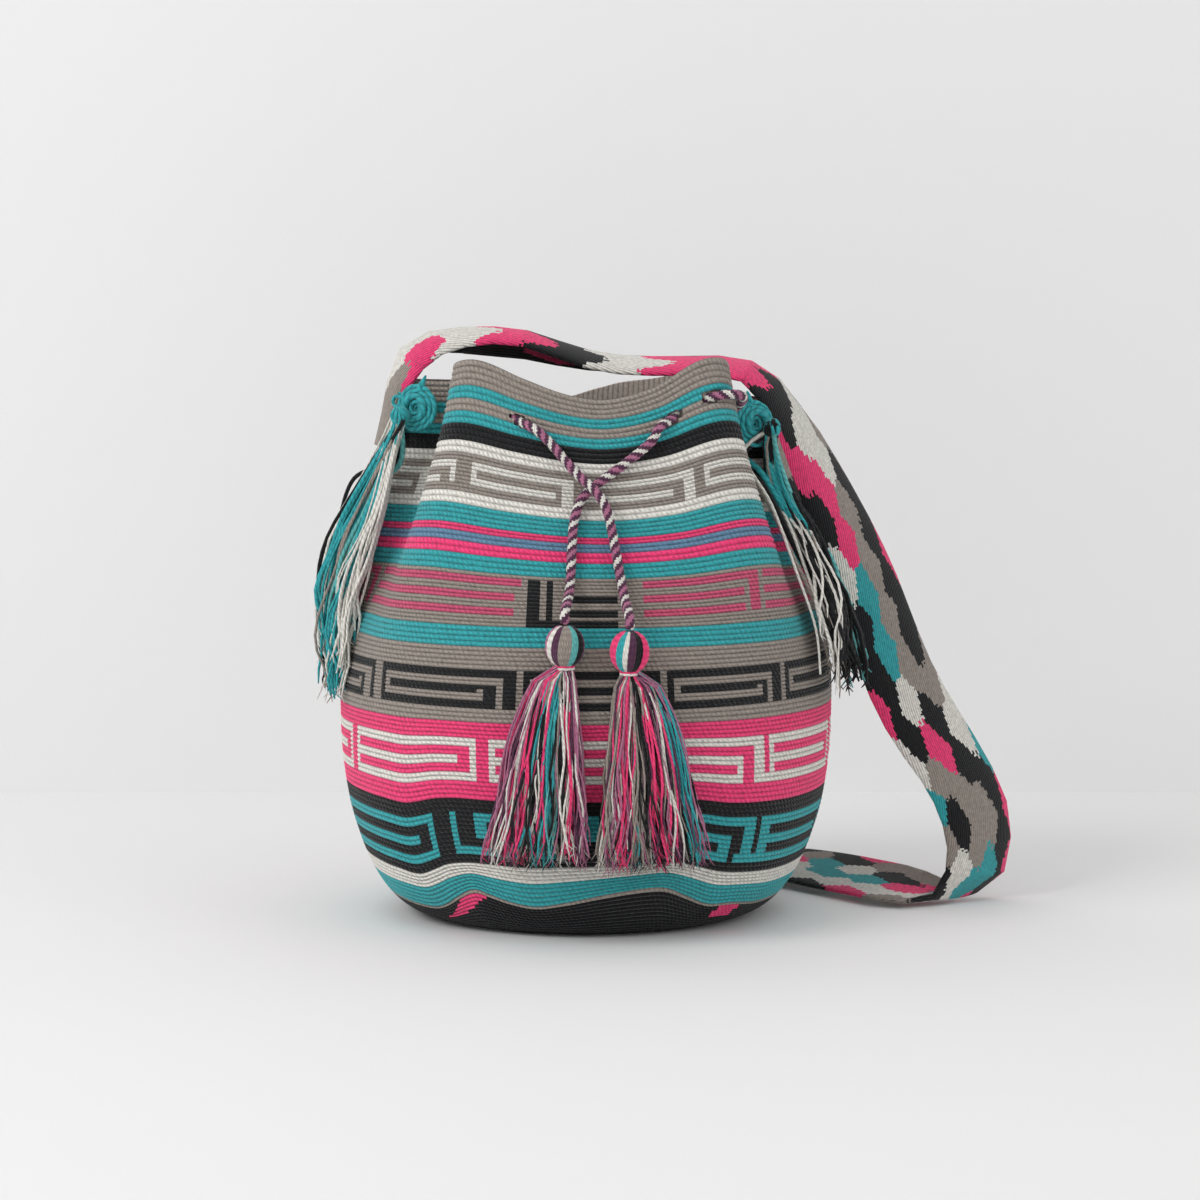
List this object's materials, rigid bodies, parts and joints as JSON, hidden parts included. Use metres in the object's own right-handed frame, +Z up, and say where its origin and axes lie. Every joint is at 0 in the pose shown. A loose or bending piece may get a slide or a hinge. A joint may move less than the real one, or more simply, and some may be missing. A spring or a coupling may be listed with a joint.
{
  "type": "crocheted bucket bag",
  "caption": "Crocheted bucket bag with a flat round base, folded mouth, woven shoulder strap, drawstring and yarn tassels.",
  "frame": {"origin": "centre of the flat round base's underside", "axes": "+Z up, the front with the tassels towards -Y, +X to the viewer's right, towards the side where the strap falls to the floor"},
  "size_m": [0.3914, 0.3258, 0.3255],
  "materials": {
    "crocheted_cotton": "matt crochet",
    "woven_strap": "matt weave",
    "twisted_cord": "matt twisted yarn",
    "tassel_yarn": "matt loose yarn",
    "rosette_crochet": "matt crochet",
    "side_yarn": "matt loose yarn"
  },
  "bodies": {
    "root": {"bag_body": "crocheted_cotton", "strap": "woven_strap", "drawstring": "twisted_cord", "tassel_left": "tassel_yarn", "tassel_right": "tassel_yarn", "rosette_left": "rosette_crochet", "rosette_right": "rosette_crochet", "side_tassel_left": "side_yarn", "side_tassel_right": "side_yarn"}
  },
  "joints": []
}
